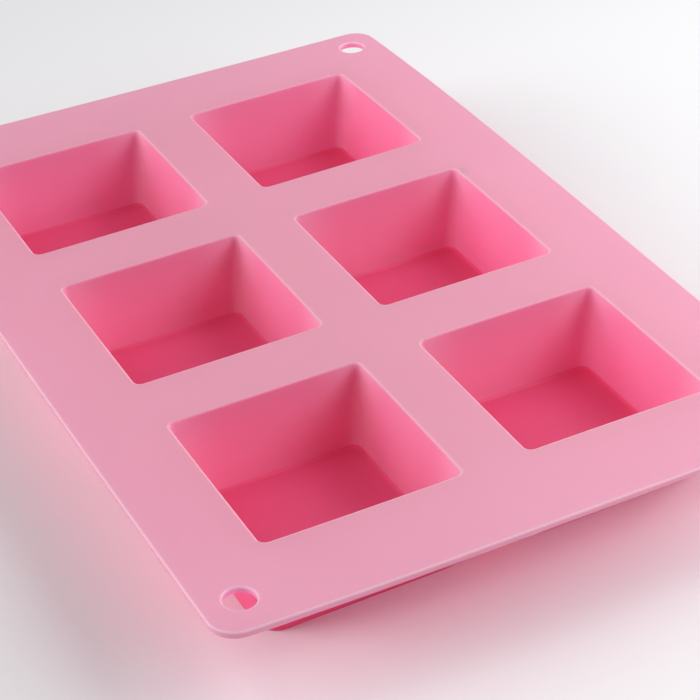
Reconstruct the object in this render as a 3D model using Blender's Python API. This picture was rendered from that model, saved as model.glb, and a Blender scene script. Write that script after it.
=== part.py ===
"""Silicone soap mould: a flexible sheet with two columns and three rows of square cavities.

The sheet lies flat at the top, and a cup hangs under each of its windows. A cup is a ring of
four drafted walls with a foot turned in at the bottom, and the thin floor inside that foot is
the panel that a thumb pushes up to free the bar of soap. The mould stands on its six feet.

The origin is at the middle of the rest plane. +X runs across the two columns, +Y along the
three rows, and +Z up through the mouths of the cavities.
"""

import math

import bmesh
import bpy
from mathutils import Matrix

# Driving dimensions, in metres
SHEET_WIDTH = 0.174
SHEET_LENGTH = 0.258
SHEET_THICKNESS = 0.002
SHEET_CORNER_RADIUS = 0.007
SHEET_RIM_RADIUS = 0.0006
OVERALL_HEIGHT = 0.029

COLUMN_PITCH = 0.0735
ROW_PITCH = 0.075
MOUTH_SIDE = 0.055
CAVITY_FLOOR_SIDE = 0.0515
MOUTH_CORNER_RADIUS = 0.002
FLOOR_CORNER_RADIUS = 0.0032
WALL_THICKNESS = 0.003

FLOOR_THICKNESS = 0.002
FLOOR_FILLET_RADIUS = 0.0018
FOOT_WIDTH = 0.004
FLOOR_LIFT = 0.0003

HANG_HOLE_RADIUS = 0.0041
HANG_HOLE_FROM_LONG_SIDE = 0.010
HANG_HOLE_FROM_SHORT_SIDE = 0.011

CLEARANCE = 0.0003
CUTTER_OVERRUN = 0.003
CORNER_SEGMENTS = 6
RIM_SEGMENTS = 2
FILLET_STEPS = 3
HOLE_SEGMENTS = 32
WELD = 1e-6

# Heights worked out from them
SHEET_UNDERSIDE = OVERALL_HEIGHT - SHEET_THICKNESS
WALL_TOP = SHEET_UNDERSIDE - CLEARANCE
CAVITY_DEPTH = OVERALL_HEIGHT - FLOOR_THICKNESS
FOOT_WINDOW_SIDE = CAVITY_FLOOR_SIDE - 2 * FOOT_WIDTH

COLUMNS = {"left": -0.5 * COLUMN_PITCH, "right": 0.5 * COLUMN_PITCH}
ROWS = {"front": -ROW_PITCH, "middle": 0.0, "back": ROW_PITCH}

SHEET_PINK = (0.80, 0.35, 0.47, 1)
WALL_PINK = (0.78, 0.10, 0.22, 1)
FLOOR_PINK = (0.62, 0.06, 0.14, 1)
SILICONE_ROUGHNESS = 0.45


def clear_scene():
    for obj in list(bpy.data.objects):
        bpy.data.objects.remove(obj, do_unlink=True)


def silicone(name, colour):
    material = bpy.data.materials.new(name)
    material.use_nodes = True
    shader = material.node_tree.nodes["Principled BSDF"]
    shader.inputs["Base Color"].default_value = colour
    shader.inputs["Roughness"].default_value = SILICONE_ROUGHNESS
    shader.inputs["Metallic"].default_value = 0
    return material


def finish_object(name, mesh, material=None, parent=None):
    """The mesh as a named object. With no material it is a cutter, which stays out of the part."""
    obj = bpy.data.objects.new(name, mesh)
    bpy.context.scene.collection.objects.link(obj)
    obj.parent = parent
    if material is None:
        obj.hide_render = True
        obj.display_type = "WIRE"
    else:
        mesh.materials.clear()
        mesh.materials.append(material)
    return obj


def mesh_from(bm, name):
    bmesh.ops.recalc_face_normals(bm, faces=bm.faces)
    mesh = bpy.data.meshes.new(name)
    bm.to_mesh(mesh)
    bm.free()
    mesh.shade_smooth()
    mesh.set_sharp_from_angle(angle=math.radians(35))
    return mesh


def rounded_rectangle(bm, width, length, radius, height):
    """A flat face with four round corners, centred on the Z axis."""
    place = Matrix.Translation((0, 0, height)) @ Matrix.Diagonal((width, length, 1, 1))
    before = set(bm.faces)
    made = bmesh.ops.create_grid(bm, x_segments=1, y_segments=1, size=0.5, matrix=place)
    bmesh.ops.bevel(
        bm,
        geom=made["verts"],
        offset=radius,
        offset_type="OFFSET",
        segments=CORNER_SEGMENTS,
        profile=0.5,
        affect="VERTICES",
        material=-1,
    )
    (face,) = set(bm.faces) - before
    return face


def round_edges_at(bm, height, radius):
    """Rounds the edges that lie at this height."""
    edges = [e for e in bm.edges if all(abs(v.co.z - height) < WELD for v in e.verts)]
    bmesh.ops.bevel(
        bm, geom=edges, offset=radius, segments=RIM_SEGMENTS, profile=0.5, affect="EDGES",
        material=-1,
    )


def rounded_slab(bm, width, length, radius, low, high):
    """A slab with round corners in plan, between two heights."""
    face = rounded_rectangle(bm, width, length, radius, low)
    grown = bmesh.ops.extrude_face_region(bm, geom=[face], use_keep_orig=True)
    raised = [item for item in grown["geom"] if isinstance(item, bmesh.types.BMVert)]
    bmesh.ops.translate(bm, vec=(0, 0, high - low), verts=raised)


def reshape(verts, was, becomes):
    """Turns one square outline, given as (side, corner radius, height), into another."""
    for vert in verts:
        for axis in (0, 1):
            sign = math.copysign(1, vert.co[axis])
            turn = (vert.co[axis] - sign * (0.5 * was[0] - was[1])) / was[1]
            vert.co[axis] = sign * (0.5 * becomes[0] - becomes[1]) + turn * becomes[1]
        vert.co.z = becomes[2]


def swept_ring(bm, profile):
    """A closed ring: each (side, corner radius, height) of the profile is one square outline."""
    side, radius, height = profile[0]
    face = rounded_rectangle(bm, side, side, radius, height)
    edges = list(face.edges)
    bmesh.ops.delete(bm, geom=[face], context="FACES_ONLY")
    for was, becomes in zip(profile, profile[1:] + profile[:1]):
        grown = bmesh.ops.extrude_edge_only(bm, edges=edges)["geom"]
        reshape([item for item in grown if isinstance(item, bmesh.types.BMVert)], was, becomes)
        edges = [item for item in grown if isinstance(item, bmesh.types.BMEdge)]
    bmesh.ops.remove_doubles(bm, verts=bm.verts, dist=WELD)


def cavity_side(height):
    """Side of the drafted cavity at a height above the rest plane."""
    share = (height - FLOOR_THICKNESS) / CAVITY_DEPTH
    return CAVITY_FLOOR_SIDE + share * (MOUTH_SIDE - CAVITY_FLOOR_SIDE)


def cavity_corner_radius(height):
    share = (height - FLOOR_THICKNESS) / CAVITY_DEPTH
    return FLOOR_CORNER_RADIUS + share * (MOUTH_CORNER_RADIUS - FLOOR_CORNER_RADIUS)


def wall_profile():
    """Section of a cup's wall, outside bottom to top, over the rim, and down inside to the foot."""
    def outside(height):
        side = cavity_side(height) + 2 * WALL_THICKNESS
        return (side, cavity_corner_radius(height) + WALL_THICKNESS, height)

    fillet_top = FLOOR_THICKNESS + FLOOR_FILLET_RADIUS
    section = [outside(0), outside(WALL_TOP)]
    section.append((cavity_side(WALL_TOP), cavity_corner_radius(WALL_TOP), WALL_TOP))
    for step in range(FILLET_STEPS + 1):
        angle = 0.5 * math.pi * step / FILLET_STEPS
        inset = FLOOR_FILLET_RADIUS * (1 - math.cos(angle))
        height = fillet_top - FLOOR_FILLET_RADIUS * math.sin(angle)
        side = cavity_side(fillet_top) - 2 * inset
        section.append((side, cavity_corner_radius(fillet_top) - 0.5 * inset, height))
    for height in (FLOOR_THICKNESS, 0):
        section.append((FOOT_WINDOW_SIDE, FLOOR_CORNER_RADIUS, height))
    return section


def wall_mesh():
    bm = bmesh.new()
    swept_ring(bm, wall_profile())
    return mesh_from(bm, "cavity_wall")


def floor_mesh():
    """The push-up panel, drawn about its own axis."""
    bm = bmesh.new()
    side = FOOT_WINDOW_SIDE - 2 * CLEARANCE
    radius = FLOOR_CORNER_RADIUS - CLEARANCE
    rounded_slab(bm, side, side, radius, FLOOR_LIFT, FLOOR_THICKNESS)
    return mesh_from(bm, "cavity_floor")


def window_cutter_mesh():
    """One drafted block for each cavity, taller than the sheet at both ends."""
    low, high = SHEET_UNDERSIDE - CUTTER_OVERRUN, OVERALL_HEIGHT + CUTTER_OVERRUN
    bottom = (cavity_side(low), cavity_corner_radius(low), low)
    top = (cavity_side(high), cavity_corner_radius(high), high)
    bm = bmesh.new()
    for x in COLUMNS.values():
        for y in ROWS.values():
            before = set(bm.verts)
            face = rounded_rectangle(bm, bottom[0], bottom[0], bottom[1], low)
            grown = bmesh.ops.extrude_face_region(bm, geom=[face], use_keep_orig=True)["geom"]
            reshape([item for item in grown if isinstance(item, bmesh.types.BMVert)], bottom, top)
            placed = [vert for vert in bm.verts if vert not in before]
            bmesh.ops.translate(bm, vec=(x, y, 0), verts=placed)
    return mesh_from(bm, "window_cutters")


def hang_hole_places():
    x = 0.5 * SHEET_WIDTH - HANG_HOLE_FROM_LONG_SIDE
    y = 0.5 * SHEET_LENGTH - HANG_HOLE_FROM_SHORT_SIDE
    return ((-x, -y), (x, y))


def hole_cutter_mesh():
    bm = bmesh.new()
    middle = OVERALL_HEIGHT - 0.5 * SHEET_THICKNESS
    for x, y in hang_hole_places():
        bmesh.ops.create_cone(
            bm, cap_ends=True, segments=HOLE_SEGMENTS, radius1=HANG_HOLE_RADIUS,
            radius2=HANG_HOLE_RADIUS, depth=SHEET_THICKNESS + 2 * CUTTER_OVERRUN,
            matrix=Matrix.Translation((x, y, middle)),
        )
    return mesh_from(bm, "hang_hole_cutters")


def cut(obj, cutter):
    modifier = obj.modifiers.new("cut_" + cutter.name, "BOOLEAN")
    modifier.operation = "DIFFERENCE"
    modifier.solver = "EXACT"
    modifier.object = cutter


def make_sheet():
    bm = bmesh.new()
    rounded_slab(
        bm, SHEET_WIDTH, SHEET_LENGTH, SHEET_CORNER_RADIUS, SHEET_UNDERSIDE, OVERALL_HEIGHT
    )
    round_edges_at(bm, SHEET_UNDERSIDE, SHEET_RIM_RADIUS)
    round_edges_at(bm, OVERALL_HEIGHT, SHEET_RIM_RADIUS)
    mesh = mesh_from(bm, "sheet")
    sheet = finish_object("sheet", mesh, silicone("sheet_silicone", SHEET_PINK))
    cut(sheet, finish_object("window_cutters", window_cutter_mesh()))
    cut(sheet, finish_object("hang_hole_cutters", hole_cutter_mesh()))


def make_cavities():
    """A wall ring and a push-up floor for each cavity, both placed by an empty on the push axis."""
    walls, floors = wall_mesh(), floor_mesh()
    wall_material = silicone("wall_silicone", WALL_PINK)
    floor_material = silicone("floor_silicone", FLOOR_PINK)
    for row, y in ROWS.items():
        for column, x in COLUMNS.items():
            axis = bpy.data.objects.new(f"push_axis_{row}_{column}", None)
            bpy.context.scene.collection.objects.link(axis)
            axis.location = (x, y, 0)
            finish_object(f"cavity_wall_{row}_{column}", walls, wall_material, parent=axis)
            finish_object(f"cavity_floor_{row}_{column}", floors, floor_material, parent=axis)


clear_scene()
make_sheet()
make_cavities()
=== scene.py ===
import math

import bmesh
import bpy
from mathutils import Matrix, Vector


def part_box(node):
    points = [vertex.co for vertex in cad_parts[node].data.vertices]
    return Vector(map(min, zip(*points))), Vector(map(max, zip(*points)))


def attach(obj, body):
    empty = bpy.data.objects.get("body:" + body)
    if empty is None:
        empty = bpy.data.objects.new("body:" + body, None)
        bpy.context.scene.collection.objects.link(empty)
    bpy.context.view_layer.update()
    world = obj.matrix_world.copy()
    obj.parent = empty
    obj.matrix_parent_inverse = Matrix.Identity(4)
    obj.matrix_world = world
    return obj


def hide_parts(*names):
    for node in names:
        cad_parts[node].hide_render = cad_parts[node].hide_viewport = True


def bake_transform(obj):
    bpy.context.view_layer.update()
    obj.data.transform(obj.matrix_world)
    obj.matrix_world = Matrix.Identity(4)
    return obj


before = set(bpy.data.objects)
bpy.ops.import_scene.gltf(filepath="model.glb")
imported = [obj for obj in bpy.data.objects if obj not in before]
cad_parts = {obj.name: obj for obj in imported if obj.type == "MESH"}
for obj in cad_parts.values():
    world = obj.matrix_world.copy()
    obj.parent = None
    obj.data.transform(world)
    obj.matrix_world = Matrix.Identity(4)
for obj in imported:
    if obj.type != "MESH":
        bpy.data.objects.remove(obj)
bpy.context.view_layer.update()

# Soft pink silicone soap mould: a thin flexible sheet with six square cups hanging under it.
#
# The visible mould is seven closed skins. One is the sheet, with a window for each cup. The
# others are the cups, each a seamless bag of inner wall, floor and outer wall, which stretches
# from the sheet to its push-up floor. A cup meets the sheet in a fine joint on the flat web just
# outside its lip, where both skins have the same outline.

MM = 0.001

# The frame's own sizes
SHEET_LOW, SHEET_HIGH = (Vector(corner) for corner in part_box("sheet"))
TOP, UNDERSIDE = SHEET_HIGH.z, SHEET_LOW.z
FLOOR_TOP = Vector(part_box("cavity_floor_front_left")[1]).z
HALF_WIDTH, HALF_LENGTH = SHEET_HIGH.x, SHEET_HIGH.y
ROWS = ("front", "middle", "back")
COLUMNS = ("left", "right")

# The moulding's details
MOUTH_HALF, CAVITY_FLOOR_HALF = 27.5 * MM, 25.75 * MM
MOUTH_CORNER, FLOOR_CORNER = 2.0 * MM, 3.2 * MM
WALL = 3.0 * MM
FLOOR_FILLET = 1.3 * MM
FOOT_FILLET = 0.4 * MM
LIP = 0.55 * MM
UNDER_FILLET = 1.0 * MM
LAND = 0.4 * MM  # the flat strip between a rounding and a joint
SHEET_CORNER = 7.0 * MM
RIM = 0.45 * MM
HOLE_LIP = 0.35 * MM
HOLE_RADIUS = 4.1 * MM
HOLE_IN_X, HOLE_IN_Y = 10.0 * MM, 11.0 * MM
HANG_HOLE = Vector((HALF_WIDTH - HOLE_IN_X, HALF_LENGTH - HOLE_IN_Y, 0))  # the other is opposite

# How much a corner's radius shrinks for each millimetre that its fillet turns in
FLOOR_CORNER_SHRINK, FOOT_CORNER_SHRINK = 0.5, 0.7

# How finely the skins are divided
CORNER_SEGMENTS = 8
ARC_STEPS = 4
WALL_STEPS = 12
HOLE_SEGMENTS = 48
CUP_CUTS = [step * 5 * MM for step in range(-4, 5)]
WEB_CUTS = (-2.5 * MM, 2.5 * MM)
BORDER_CUTS = (5 * MM, 10.5 * MM, 16 * MM)
WELD = 1e-6
SHARP_ANGLE = math.radians(40)


def cup_centre(row, column):
    low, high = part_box(f"cavity_floor_{row}_{column}")
    return Vector(((low[0] + high[0]) / 2, (low[1] + high[1]) / 2, 0))


CUPS = {(row, column): cup_centre(row, column) for row in ROWS for column in COLUMNS}


# ---------------------------------------------------------------- outlines and sweeps

def outline(half, corner, height):
    """A square outline: half width, half length, corner radius and height."""
    return (half, half, corner, height)


def rounded_ring(bm, section, centre):
    """Draws a round-cornered outline as a closed ring of edges."""
    half_width, half_length, corner, height = section
    place = Matrix.Translation(centre + Vector((0, 0, height)))
    size = Matrix.Diagonal((2 * half_width, 2 * half_length, 1, 1))
    before = set(bm.faces)
    grid = bmesh.ops.create_grid(bm, x_segments=1, y_segments=1, size=0.5, matrix=place @ size)
    bmesh.ops.bevel(
        bm, geom=grid["verts"], offset=corner, offset_type="OFFSET",
        segments=CORNER_SEGMENTS, profile=0.5, affect="VERTICES", material=-1,
    )
    (face,) = set(bm.faces) - before
    ring = list(face.edges)
    bmesh.ops.delete(bm, geom=[face], context="FACES_ONLY")
    return ring


def reshape(verts, was, becomes, centre):
    """Turns one round-cornered outline into another, corner for corner and side for side."""
    for vert in verts:
        for axis in (0, 1):
            offset = vert.co[axis] - centre[axis]
            reach, straight = abs(offset), was[axis] - was[2]
            if reach > straight:
                reach = becomes[axis] - becomes[2] + (reach - straight) * becomes[2] / was[2]
            elif straight > 0:
                reach *= (becomes[axis] - becomes[2]) / straight
            vert.co[axis] = centre[axis] + math.copysign(reach, offset)
        vert.co.z = becomes[3]


def sweep(bm, ring, sections, centre):
    """Extrudes a ring, which has the first section's shape, through the other sections."""
    for was, becomes in zip(sections, sections[1:]):
        grown = bmesh.ops.extrude_edge_only(bm, edges=ring)["geom"]
        verts = [item for item in grown if isinstance(item, bmesh.types.BMVert)]
        reshape(verts, was, becomes, centre)
        ring = [item for item in grown if isinstance(item, bmesh.types.BMEdge)]
    return ring


def quarter_arc(radius, steps=ARC_STEPS):
    """(in, up) distances along a quarter round that starts upright and ends flat."""
    angles = (0.5 * math.pi * step / steps for step in range(steps + 1))
    return [(radius * (1 - math.cos(angle)), radius * math.sin(angle)) for angle in angles]


# ---------------------------------------------------------------- the flexible sheet's bow

# How far each corner, and the middle of each side, stands above the flat sheet, how much more
# a side stands at one end than in its middle, and the height from which the bow sets in
CORNER_RISE = {(-1, -1): 0.56 * MM, (1, -1): -3.55 * MM, (-1, 1): -1.13 * MM, (1, 1): -0.47 * MM}
LEFT_RISE, RIGHT_RISE, RIGHT_SKEW = -1.63 * MM, 0.61 * MM, 1.8 * MM
FRONT_RISE, BACK_RISE, FRONT_SKEW = -0.83 * MM, -0.79 * MM, 1.25 * MM
BOW_FROM = 5 * MM


def smooth(share):
    share = min(max(share, 0), 1)
    return share * share * (3 - 2 * share)


def near(side, place):
    """Grows from 0 at the far side to 1 at the side named by its sign."""
    return (0.5 * (1 + side * place)) ** 2


def bow(x, y):
    """Rise of the sheet's top at a place on it."""
    across, along = x / HALF_WIDTH, y / HALF_LENGTH
    corners = sum(
        amount * near(side, across) * near(end, along)
        for (side, end), amount in CORNER_RISE.items()
    )
    right, front = RIGHT_RISE + RIGHT_SKEW * along, FRONT_RISE + FRONT_SKEW * across
    sides = LEFT_RISE * near(-1, across) + right * near(1, across)
    ends = front * near(-1, along) + BACK_RISE * near(1, along)
    return corners + sides * (1 - along * along) + ends * (1 - across * across)


# ---------------------------------------------------------------- dividing and finishing a skin

def cut_positions(centres, half):
    """Where the skins are divided: across each cup, in the webs and in the borders."""
    cups = [centre + offset for centre in centres for offset in CUP_CUTS]
    webs = [0.5 * (a + b) + offset for a, b in zip(centres, centres[1:]) for offset in WEB_CUTS]
    border = [half - inset for inset in BORDER_CUTS]
    return sorted(cups + webs + border + [-place for place in border])


X_CUTS = cut_positions(sorted({round(centre.x, 6) for centre in CUPS.values()}), HALF_WIDTH)
Y_CUTS = cut_positions(sorted({round(centre.y, 6) for centre in CUPS.values()}), HALF_LENGTH)


def divide(bm):
    """Cuts a skin along one grid that every skin shares, so that it can bow and neighbours match."""
    for axis, places in ((0, X_CUTS), (1, Y_CUTS)):
        normal = Vector((axis == 0, axis == 1, 0))
        low = min(vert.co[axis] for vert in bm.verts)
        high = max(vert.co[axis] for vert in bm.verts)
        for place in places:
            if low < place < high:
                bmesh.ops.bisect_plane(
                    bm, geom=bm.verts[:] + bm.edges[:] + bm.faces[:], dist=WELD,
                    plane_co=normal * place, plane_no=normal,
                )


MOULDED_PLACE = "moulded_place"  # each point's place in the flat, unbent mould


def skin(bm, name, material):
    """Divides, bows and finishes a skin, and puts it in the scene."""
    bmesh.ops.remove_doubles(bm, verts=bm.verts, dist=WELD)
    divide(bm)
    bmesh.ops.recalc_face_normals(bm, faces=bm.faces)
    moulded = bm.verts.layers.float_vector.new(MOULDED_PLACE)
    for vert in bm.verts:
        vert[moulded] = vert.co
        share = smooth((vert.co.z - BOW_FROM) / (TOP - BOW_FROM))
        vert.co.z += share * bow(vert.co.x, vert.co.y)
    mesh = bpy.data.meshes.new(name)
    bm.to_mesh(mesh)
    bm.free()
    mesh.shade_smooth()
    mesh.set_sharp_from_angle(angle=SHARP_ANGLE)
    mesh.materials.append(material)
    obj = bpy.data.objects.new(name, mesh)
    bpy.context.scene.collection.objects.link(obj)
    return obj


# ---------------------------------------------------------------- the sheet and the cups

def cavity(height):
    """Half width and corner radius of the drafted cavity at a height."""
    share = (height - FLOOR_TOP) / (TOP - FLOOR_TOP)
    half = CAVITY_FLOOR_HALF + share * (MOUTH_HALF - CAVITY_FLOOR_HALF)
    return half, FLOOR_CORNER + share * (MOUTH_CORNER - FLOOR_CORNER)


def joint_sections():
    """The fine joint between a cup and the sheet, at the top and at the underside."""
    half, corner = cavity(TOP)
    out = LIP + LAND
    under_half, under_corner = cavity(UNDERSIDE)
    under_out = WALL + UNDER_FILLET + LAND
    return (
        outline(half + out, corner + out, TOP),
        outline(under_half + under_out, under_corner + under_out, UNDERSIDE),
    )


def sheet_rim_sections():
    """The sheet's outer edge: flat land, quarter round, band, quarter round, flat land."""
    def inset(distance, height):
        return (HALF_WIDTH - distance, HALF_LENGTH - distance, SHEET_CORNER - distance, height)

    arc = quarter_arc(RIM)
    upper = [inset(inward, TOP - RIM + up) for inward, up in reversed(arc)]
    lower = [inset(inward, UNDERSIDE + RIM - up) for inward, up in arc]
    return [inset(RIM + LAND, TOP)] + upper + lower + [inset(RIM + LAND, UNDERSIDE)]


def hole_sections():
    """A hang hole: flat land, quarter round, bore, quarter round, flat land."""
    def ring(outward, height):
        radius = HOLE_RADIUS + outward
        return (radius, radius, radius, height)

    arc = quarter_arc(HOLE_LIP)
    upper = [ring(outward, TOP - HOLE_LIP + up) for outward, up in reversed(arc)]
    lower = [ring(outward, UNDERSIDE + HOLE_LIP - up) for outward, up in arc]
    return [ring(HOLE_LIP + LAND, TOP)] + upper + lower + [ring(HOLE_LIP + LAND, UNDERSIDE)]


def hole_ring(bm, section, centre):
    place = Matrix.Translation(centre + Vector((0, 0, section[3])))
    made = bmesh.ops.create_circle(bm, segments=HOLE_SEGMENTS, radius=section[0], matrix=place)
    return list({edge for vert in made["verts"] for edge in vert.link_edges})


def make_sheet(material):
    bm = bmesh.new()
    rings = [(rounded_ring, sheet_rim_sections(), Vector())]
    rings += [(rounded_ring, joint_sections(), centre) for centre in CUPS.values()]
    rings += [(hole_ring, hole_sections(), centre) for centre in (-HANG_HOLE, HANG_HOLE)]
    top, underside = [], []
    for draw, sections, centre in rings:
        first = draw(bm, sections[0], centre)
        top += first
        underside += sweep(bm, first, sections, centre)
    for edges in (top, underside):
        bmesh.ops.triangle_fill(bm, edges=edges, use_beauty=True)
    return skin(bm, "silicone_sheet", material)


def cup_sections():
    """From the floor's edge up the inside, over the lip, under the sheet, and down to the foot."""
    low, high = FLOOR_TOP + FLOOR_FILLET, TOP - LIP
    half, corner = cavity(low)
    sections = [
        outline(half - inward, corner - FLOOR_CORNER_SHRINK * inward, low - down)
        for inward, down in reversed(quarter_arc(FLOOR_FILLET))
    ]
    for step in range(1, WALL_STEPS):
        height = low + (high - low) * step / WALL_STEPS
        sections.append(outline(*cavity(height), height))
    half, corner = cavity(high)
    for outward, up in quarter_arc(LIP):
        sections.append(outline(half + outward, corner + outward, high + up))
    sections += joint_sections()
    high, low = UNDERSIDE - UNDER_FILLET, FOOT_FILLET
    half, corner = (value + WALL for value in cavity(high))
    for outward, up in reversed(quarter_arc(UNDER_FILLET)):
        sections.append(outline(half + outward, corner + outward, high + up))
    for step in range(1, WALL_STEPS):
        height = high + (low - high) * step / WALL_STEPS
        sections.append(outline(*(value + WALL for value in cavity(height)), height))
    half, corner = (value + WALL for value in cavity(low))
    for inward, down in quarter_arc(FOOT_FILLET):
        sections.append(outline(half - inward, corner - FOOT_CORNER_SHRINK * inward, low - down))
    return sections


def make_cup(row, column, material):
    bm = bmesh.new()
    centre, sections = CUPS[row, column], cup_sections()
    floor_edge = rounded_ring(bm, sections[0], centre)
    foot_edge = sweep(bm, floor_edge, sections, centre)
    for ring in (floor_edge, foot_edge):
        bmesh.ops.edgeloop_fill(bm, edges=ring)
    cup = skin(bm, f"silicone_cup_{row}_{column}", material)
    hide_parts(f"cavity_wall_{row}_{column}", f"cavity_floor_{row}_{column}")
    centre + Vector((0, 0, UNDERSIDE))
    centre + Vector((0, 0, FLOOR_TOP))
    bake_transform(cup)
    return cup


# ---------------------------------------------------------------- materials

class Value:
    """A shader socket that ordinary arithmetic extends with Math nodes."""

    def __init__(self, shader, socket):
        self.shader, self.socket = shader, socket

    def math(self, operation, *inputs):
        return self.shader.node("ShaderNodeMath", {"operation": operation}, dict(enumerate(inputs)))

    def __add__(self, other):
        return self.math("ADD", self, other)

    def __sub__(self, other):
        return self.math("SUBTRACT", self, other)

    def __mul__(self, other):
        return self.math("MULTIPLY", self, other)

    def __truediv__(self, other):
        return self.math("DIVIDE", self, other)

    __radd__ = __add__
    __rmul__ = __mul__

    def __rsub__(self, other):
        return self.math("SUBTRACT", other, self)

    def __abs__(self):
        return self.math("ABSOLUTE", self)

    def least(self, other):
        return self.math("MINIMUM", self, other)

    def most(self, other):
        return self.math("MAXIMUM", self, other)

    def hypot(self, other):
        return self.math("SQRT", self * self + other * other)

    def rises(self, low, high):
        """0 below low, 1 above high, and a smooth step between them."""
        settings = {"interpolation_type": "SMOOTHSTEP"}
        inputs = {"Value": self, "From Min": low, "From Max": high}
        return self.shader.node("ShaderNodeMapRange", settings, inputs)

    def falls(self, low, high):
        return 1 - self.rises(low, high)


class Shader:
    """Builds one material's nodes."""

    def __init__(self, name):
        self.material = bpy.data.materials.new(name)
        self.material.use_nodes = True
        self.tree = self.material.node_tree
        self.tree.nodes.clear()

    def node(self, kind, settings=None, inputs=None, output=0):
        """Adds a node, and returns one output, or a list of them where output is a list."""
        node = self.tree.nodes.new(kind)
        for name, value in (settings or {}).items():
            setattr(node, name, value)
        for name, value in (inputs or {}).items():
            if isinstance(value, Value):
                self.tree.links.new(value.socket, node.inputs[name])
            else:
                node.inputs[name].default_value = value
        if isinstance(output, list):
            return [Value(self, node.outputs[name]) for name in output]
        return Value(self, node.outputs[output]) if node.outputs else None

    def split(self, vector):
        return self.node("ShaderNodeSeparateXYZ", {}, {"Vector": vector}, ["X", "Y", "Z"])

    def noise(self, place, scale, detail=2):
        inputs = {"Vector": place, "Scale": scale, "Detail": detail}
        return self.node("ShaderNodeTexNoise", {}, inputs, "Fac")

    def mix(self, share, first, second):
        inputs = {0: share, 6: first, 7: second}
        return self.node("ShaderNodeMix", {"data_type": "RGBA"}, inputs, 2)

    def finish(self, surface):
        self.node("ShaderNodeOutputMaterial", {}, {"Surface": surface})


# Pairs of colours that a faint cloud blends, and single ones with the share they are mixed in
WALL_PINKS = (0.98, 0.39, 0.65, 1), (0.99, 0.43, 0.69, 1)
# Painted sheen: a paler pink on the up-facing top and round the sheet's rim, standing in for the
# light that falls there
SHEEN_TOP_PINKS = (0.87, 0.48, 0.62, 1), (0.90, 0.52, 0.66, 1)
# Painted shade: a deep crimson on the cavity floors, the cups' outer walls under the sheet and their
# soles, where little light reaches
SHADED_DEEP_PINKS = (0.955, 0.16, 0.37, 1), (0.97, 0.19, 0.40, 1)
# Painted glow: a paler pink near each cavity's vertical corners, standing in for light shining
# through the thin silicone there
CORNER_GLOW_PINK, CORNER_GLOW_SHARE = (0.99, 0.62, 0.82, 1), 0.8
# Painted highlight: near-white lines along the mouths' lips, the outer rim and the hang holes, where
# the rounded edges catch the light
EDGE_HIGHLIGHT_PINK, EDGE_HIGHLIGHT_SHARE = (1.0, 0.86, 0.92, 1), 0.65
TABLE_GREYS = (0.80, 0.795, 0.81, 1), (0.82, 0.815, 0.83, 1)

# The heights, and the upward slopes of a face, between which one colour gives way to another
SOLE_HEIGHTS = (0.8 * MM, 1.6 * MM)
FLOOR_HEIGHTS, FLOOR_SLOPES = (2.5 * MM, 4 * MM), (0.05, 0.6)
TOP_HEIGHTS, TOP_SLOPES = (24 * MM, 27 * MM), (0.5, 0.95)
CUP_TOP_HEIGHTS = (26 * MM, 27 * MM)
EDGE_HEIGHTS = (28.2 * MM, 28.7 * MM)

# Distances across the sheet: the painted sheen's colour round the rim, the middle of a wall, the
# painted corner glow's reach, a mouth's far side, and each painted highlight line's place and width
RIM_BAND = (-1.0 * MM, -0.4 * MM)
MID_WALL = (-0.5 * MM, 0.5 * MM)
CORNER_REACH = 16 * MM
# The painted highlight fades on each mouth's far side, which faces away from the light
FAR_SIDE, FAR_SIDE_HIGHLIGHT_LOSS = (26.5 * MM, 27.5 * MM), 0.75
LIP_LINE, RIM_LINE, HOLE_LINE = (
    (place * MM, width * MM) for place, width in ((0.35, 0.3), (-0.2, 0.35), (0.15, 0.4))
)
LINE_CORE = 0.25
ROWS_WRAPPED = 1.499  # pitches from the middle row to where the borders stop counting as a row

CLOUD_SCALE, CLOUD_DETAIL, GRAIN_SCALE = 28, 3, 2600
GRAIN_STRENGTH, GRAIN_HEIGHT = 0.05, 0.1 * MM
SATIN, SATIN_SPREAD = 0.36, 0.08
SILICONE_IOR = 1.41
LIGHT_THROUGH = 0.42
TABLE_CLOUD_SCALE, TABLE_ROUGHNESS = 3, 0.6


def beyond(across, along, half_width, half_length, corner):
    """Distance outside a round-cornered outline, below 0 inside it."""
    past_side = abs(across) - (half_width - corner)
    past_end = abs(along) - (half_length - corner)
    rounded = past_side.most(0).hypot(past_end.most(0))
    return rounded + past_side.most(past_end).least(0) - corner


def line_at(distance, place, width):
    """1 on a fine line at this distance, fading to 0 on both sides of it."""
    return abs(distance - place).falls(LINE_CORE * width, width)


def from_nearest_cup(across, along):
    """A place on the sheet, measured from the middle of the nearest cup."""
    column = max(centre.x for centre in CUPS.values())
    row = max(centre.y for centre in CUPS.values())
    last = ROWS_WRAPPED * row
    within = along.most(-last).least(last)
    return abs(across) - column, within.math("WRAP", within, 0.5 * row, -0.5 * row)


def past_hang_hole(across, along):
    """Distance outside the nearer hang hole."""
    one = (across - HANG_HOLE.x).hypot(along - HANG_HOLE.y)
    other = (across + HANG_HOLE.x).hypot(along + HANG_HOLE.y)
    return one.least(other) - HOLE_RADIUS


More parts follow.
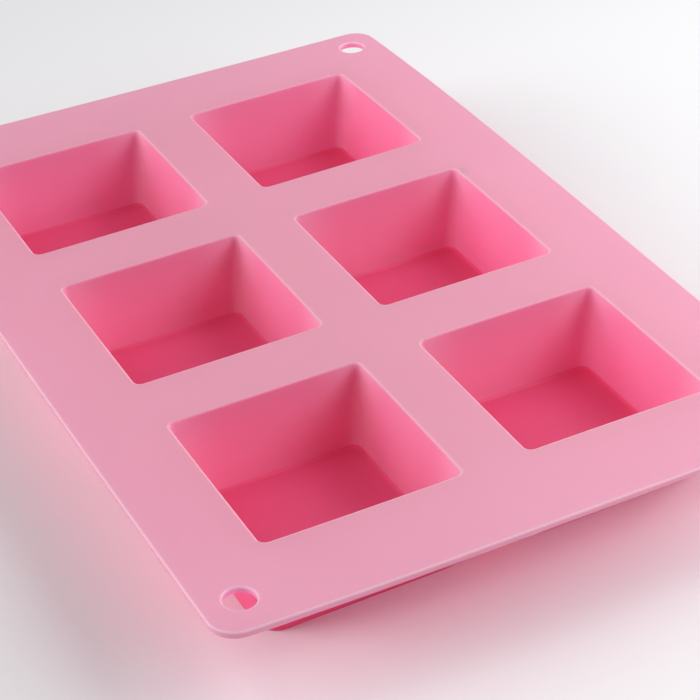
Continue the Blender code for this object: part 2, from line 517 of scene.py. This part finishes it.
def silicone_colour(shader, place, cloud):
    """Lighter pink walls, with painted shade as deep pink on floors and outsides, a painted glow in
    the corners, a painted sheen as a paler top, and painted highlights as fine pale edge lines.
    """
    across, along, height = shader.split(place)
    slope = shader.split(shader.node("ShaderNodeTexCoord", output="Normal"))[2]
    from_column, from_row = from_nearest_cup(across, along)
    past_mouth = beyond(from_column, from_row, MOUTH_HALF, MOUTH_HALF, MOUTH_CORNER)
    wall_half, wall_corner = (size + 0.5 * WALL for size in cavity(height))
    past_wall = beyond(from_column, from_row, wall_half, wall_half, wall_corner)
    past_rim = beyond(across, along, HALF_WIDTH, HALF_LENGTH, SHEET_CORNER)
    past_corner = (abs(from_column) - MOUTH_HALF).hypot(abs(from_row) - MOUTH_HALF)

    # Painted sheen: the paler top colour on up-facing faces and round the outer rim
    top_sheen = height.rises(*TOP_HEIGHTS) * slope.rises(*TOP_SLOPES)
    top_sheen = top_sheen.most(past_rim.rises(*RIM_BAND))
    # Painted shade: the deep pink of the floors, the cups' outer walls and their soles
    floor_shade = height.falls(*FLOOR_HEIGHTS) * slope.rises(*FLOOR_SLOPES)
    outside = past_wall.rises(*MID_WALL).most(height.falls(*SOLE_HEIGHTS))
    outside *= height.falls(*CUP_TOP_HEIGHTS)
    # Painted glow: paler pink near the cavity corners, where light shines through
    corner_glow = past_corner.falls(0, CORNER_REACH)
    # Painted highlight: pale lines at the lips, the rim and the hang holes, weaker on each mouth's
    # far side
    lip_highlight = line_at(past_mouth, *LIP_LINE) * (1 - FAR_SIDE_HIGHLIGHT_LOSS * from_row.rises(*FAR_SIDE))
    edge_highlight = lip_highlight.most(line_at(past_rim, *RIM_LINE))
    edge_highlight = edge_highlight.most(line_at(past_hang_hole(across, along), *HOLE_LINE))
    edge_highlight *= height.rises(*EDGE_HEIGHTS)

    body = shader.mix(cloud, *WALL_PINKS)
    body = shader.mix(corner_glow * CORNER_GLOW_SHARE, body, CORNER_GLOW_PINK)
    body = shader.mix(top_sheen, body, shader.mix(cloud, *SHEEN_TOP_PINKS))
    body = shader.mix(floor_shade.most(outside), body, shader.mix(cloud, *SHADED_DEEP_PINKS))
    return shader.mix(edge_highlight * EDGE_HIGHLIGHT_SHARE, body, EDGE_HIGHLIGHT_PINK)


def silicone():
    """A satin skin over a body that lets some of the light through."""
    shader = Shader("pink_silicone")
    place = shader.node("ShaderNodeAttribute", {"attribute_name": MOULDED_PLACE}, {}, "Vector")
    cloud = shader.noise(place, CLOUD_SCALE, CLOUD_DETAIL)
    colour = silicone_colour(shader, place, cloud)
    grain = shader.noise(place, GRAIN_SCALE)
    bump = shader.node("ShaderNodeBump", {}, {
        "Strength": GRAIN_STRENGTH, "Distance": GRAIN_HEIGHT, "Height": grain,
    })
    surface = shader.node("ShaderNodeBsdfPrincipled", {}, {
        "Base Color": colour, "Roughness": cloud * SATIN_SPREAD + SATIN, "Normal": bump,
        "IOR": SILICONE_IOR,
    })
    glow = shader.node("ShaderNodeBsdfTranslucent", {}, {"Color": colour})
    shader.finish(shader.node("ShaderNodeMixShader", {}, {0: LIGHT_THROUGH, 1: surface, 2: glow}))
    return shader.material


def table_top():
    shader = Shader("pale_table")
    place = shader.node("ShaderNodeTexCoord", output="Object")
    cloud = shader.noise(place, TABLE_CLOUD_SCALE)
    shader.finish(shader.node("ShaderNodeBsdfPrincipled", {}, {
        "Base Color": shader.mix(cloud, *TABLE_GREYS), "Roughness": TABLE_ROUGHNESS,
    }))
    return shader.material


# ---------------------------------------------------------------- table, light and camera

TABLE_HALF, TABLE_DROP = 4.0, 0.1 * MM

# Each softbox's heading, clockwise from the back, and its elevation, distance, side and power
LAMPS = (
    ("right_low_softbox", 90, 18, 0.9, 0.5, 3.6),
    ("right_high_softbox", 80, 52, 0.55, 0.3, 0.7),
    ("back_panel", 27, 33, 0.9, 0.9, 1.5),
    ("left_high_softbox", 270, 52, 1.4, 0.8, 5.8),
    ("left_low_softbox", 290, 18, 1.4, 0.8, 14.5),
    ("front_softbox", 140, 35, 0.7, 0.4, 2.6),
)
ROOM_LIGHT = 0.03
LIGHT_BOUNCES = 32

CAMERA_PLACE = Vector((-205.7, -432.1, 327.9)) * MM
CAMERA_TILT, CAMERA_HEADING, CAMERA_ROLL = (math.radians(a) for a in (55.54, 26.81, -1.965))
SENSOR, LENS = 36.0, 102.194
NEAREST, FARTHEST = 0.01, 20


def make_table():
    bm = bmesh.new()
    under_feet = Matrix.Translation((0, 0, -TABLE_DROP))
    bmesh.ops.create_grid(bm, x_segments=1, y_segments=1, size=TABLE_HALF, matrix=under_feet)
    mesh = bpy.data.meshes.new("table")
    bm.to_mesh(mesh)
    bm.free()
    mesh.materials.append(table_top())
    table = bpy.data.objects.new("table", mesh)
    bpy.context.scene.collection.objects.link(table)


def softbox(name, place, size, power):
    """A square area light that looks at the origin."""
    light = bpy.data.lights.new(name, "AREA")
    light.shape = "SQUARE"
    light.size = size
    light.energy = power
    lamp = bpy.data.objects.new(name, light)
    lamp.location = place
    lamp.rotation_euler = (-place).to_track_quat("-Z", "Y").to_euler()
    bpy.context.scene.collection.objects.link(lamp)


def light_studio():
    world = bpy.data.worlds.new("studio")
    world.use_nodes = True
    background = world.node_tree.nodes["Background"]
    background.inputs["Color"].default_value = (1, 1, 1, 1)
    background.inputs["Strength"].default_value = ROOM_LIGHT
    bpy.context.scene.world = world
    for name, heading, elevation, away, size, power in LAMPS:
        aside, up = math.radians(heading), math.radians(elevation)
        flat = math.cos(up)
        toward = Vector((math.sin(aside) * flat, math.cos(aside) * flat, math.sin(up)))
        softbox(name, away * toward, size, power)


def set_camera():
    camera = bpy.data.cameras.new("camera")
    camera.sensor_width = SENSOR
    camera.lens = LENS
    camera.clip_start, camera.clip_end = NEAREST, FARTHEST
    eye = bpy.data.objects.new("camera", camera)
    turn = Matrix.Rotation(-CAMERA_HEADING, 4, "Z")
    tilt = Matrix.Rotation(CAMERA_TILT, 4, "X")
    roll = Matrix.Rotation(CAMERA_ROLL, 4, "Z")
    eye.matrix_world = Matrix.Translation(CAMERA_PLACE) @ turn @ tilt @ roll
    bpy.context.scene.collection.objects.link(eye)
    bpy.context.scene.camera = eye
    bpy.context.scene.view_settings.view_transform = "Standard"
    for kind in ("max_bounces", "diffuse_bounces", "transmission_bounces"):
        setattr(bpy.context.scene.cycles, kind, LIGHT_BOUNCES)


# ---------------------------------------------------------------- the scene

pink = silicone()
sheet = make_sheet(pink)
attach(sheet, "mould")
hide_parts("sheet")
for row, column in CUPS:
    make_cup(row, column, pink)
make_table()
light_studio()
set_camera()
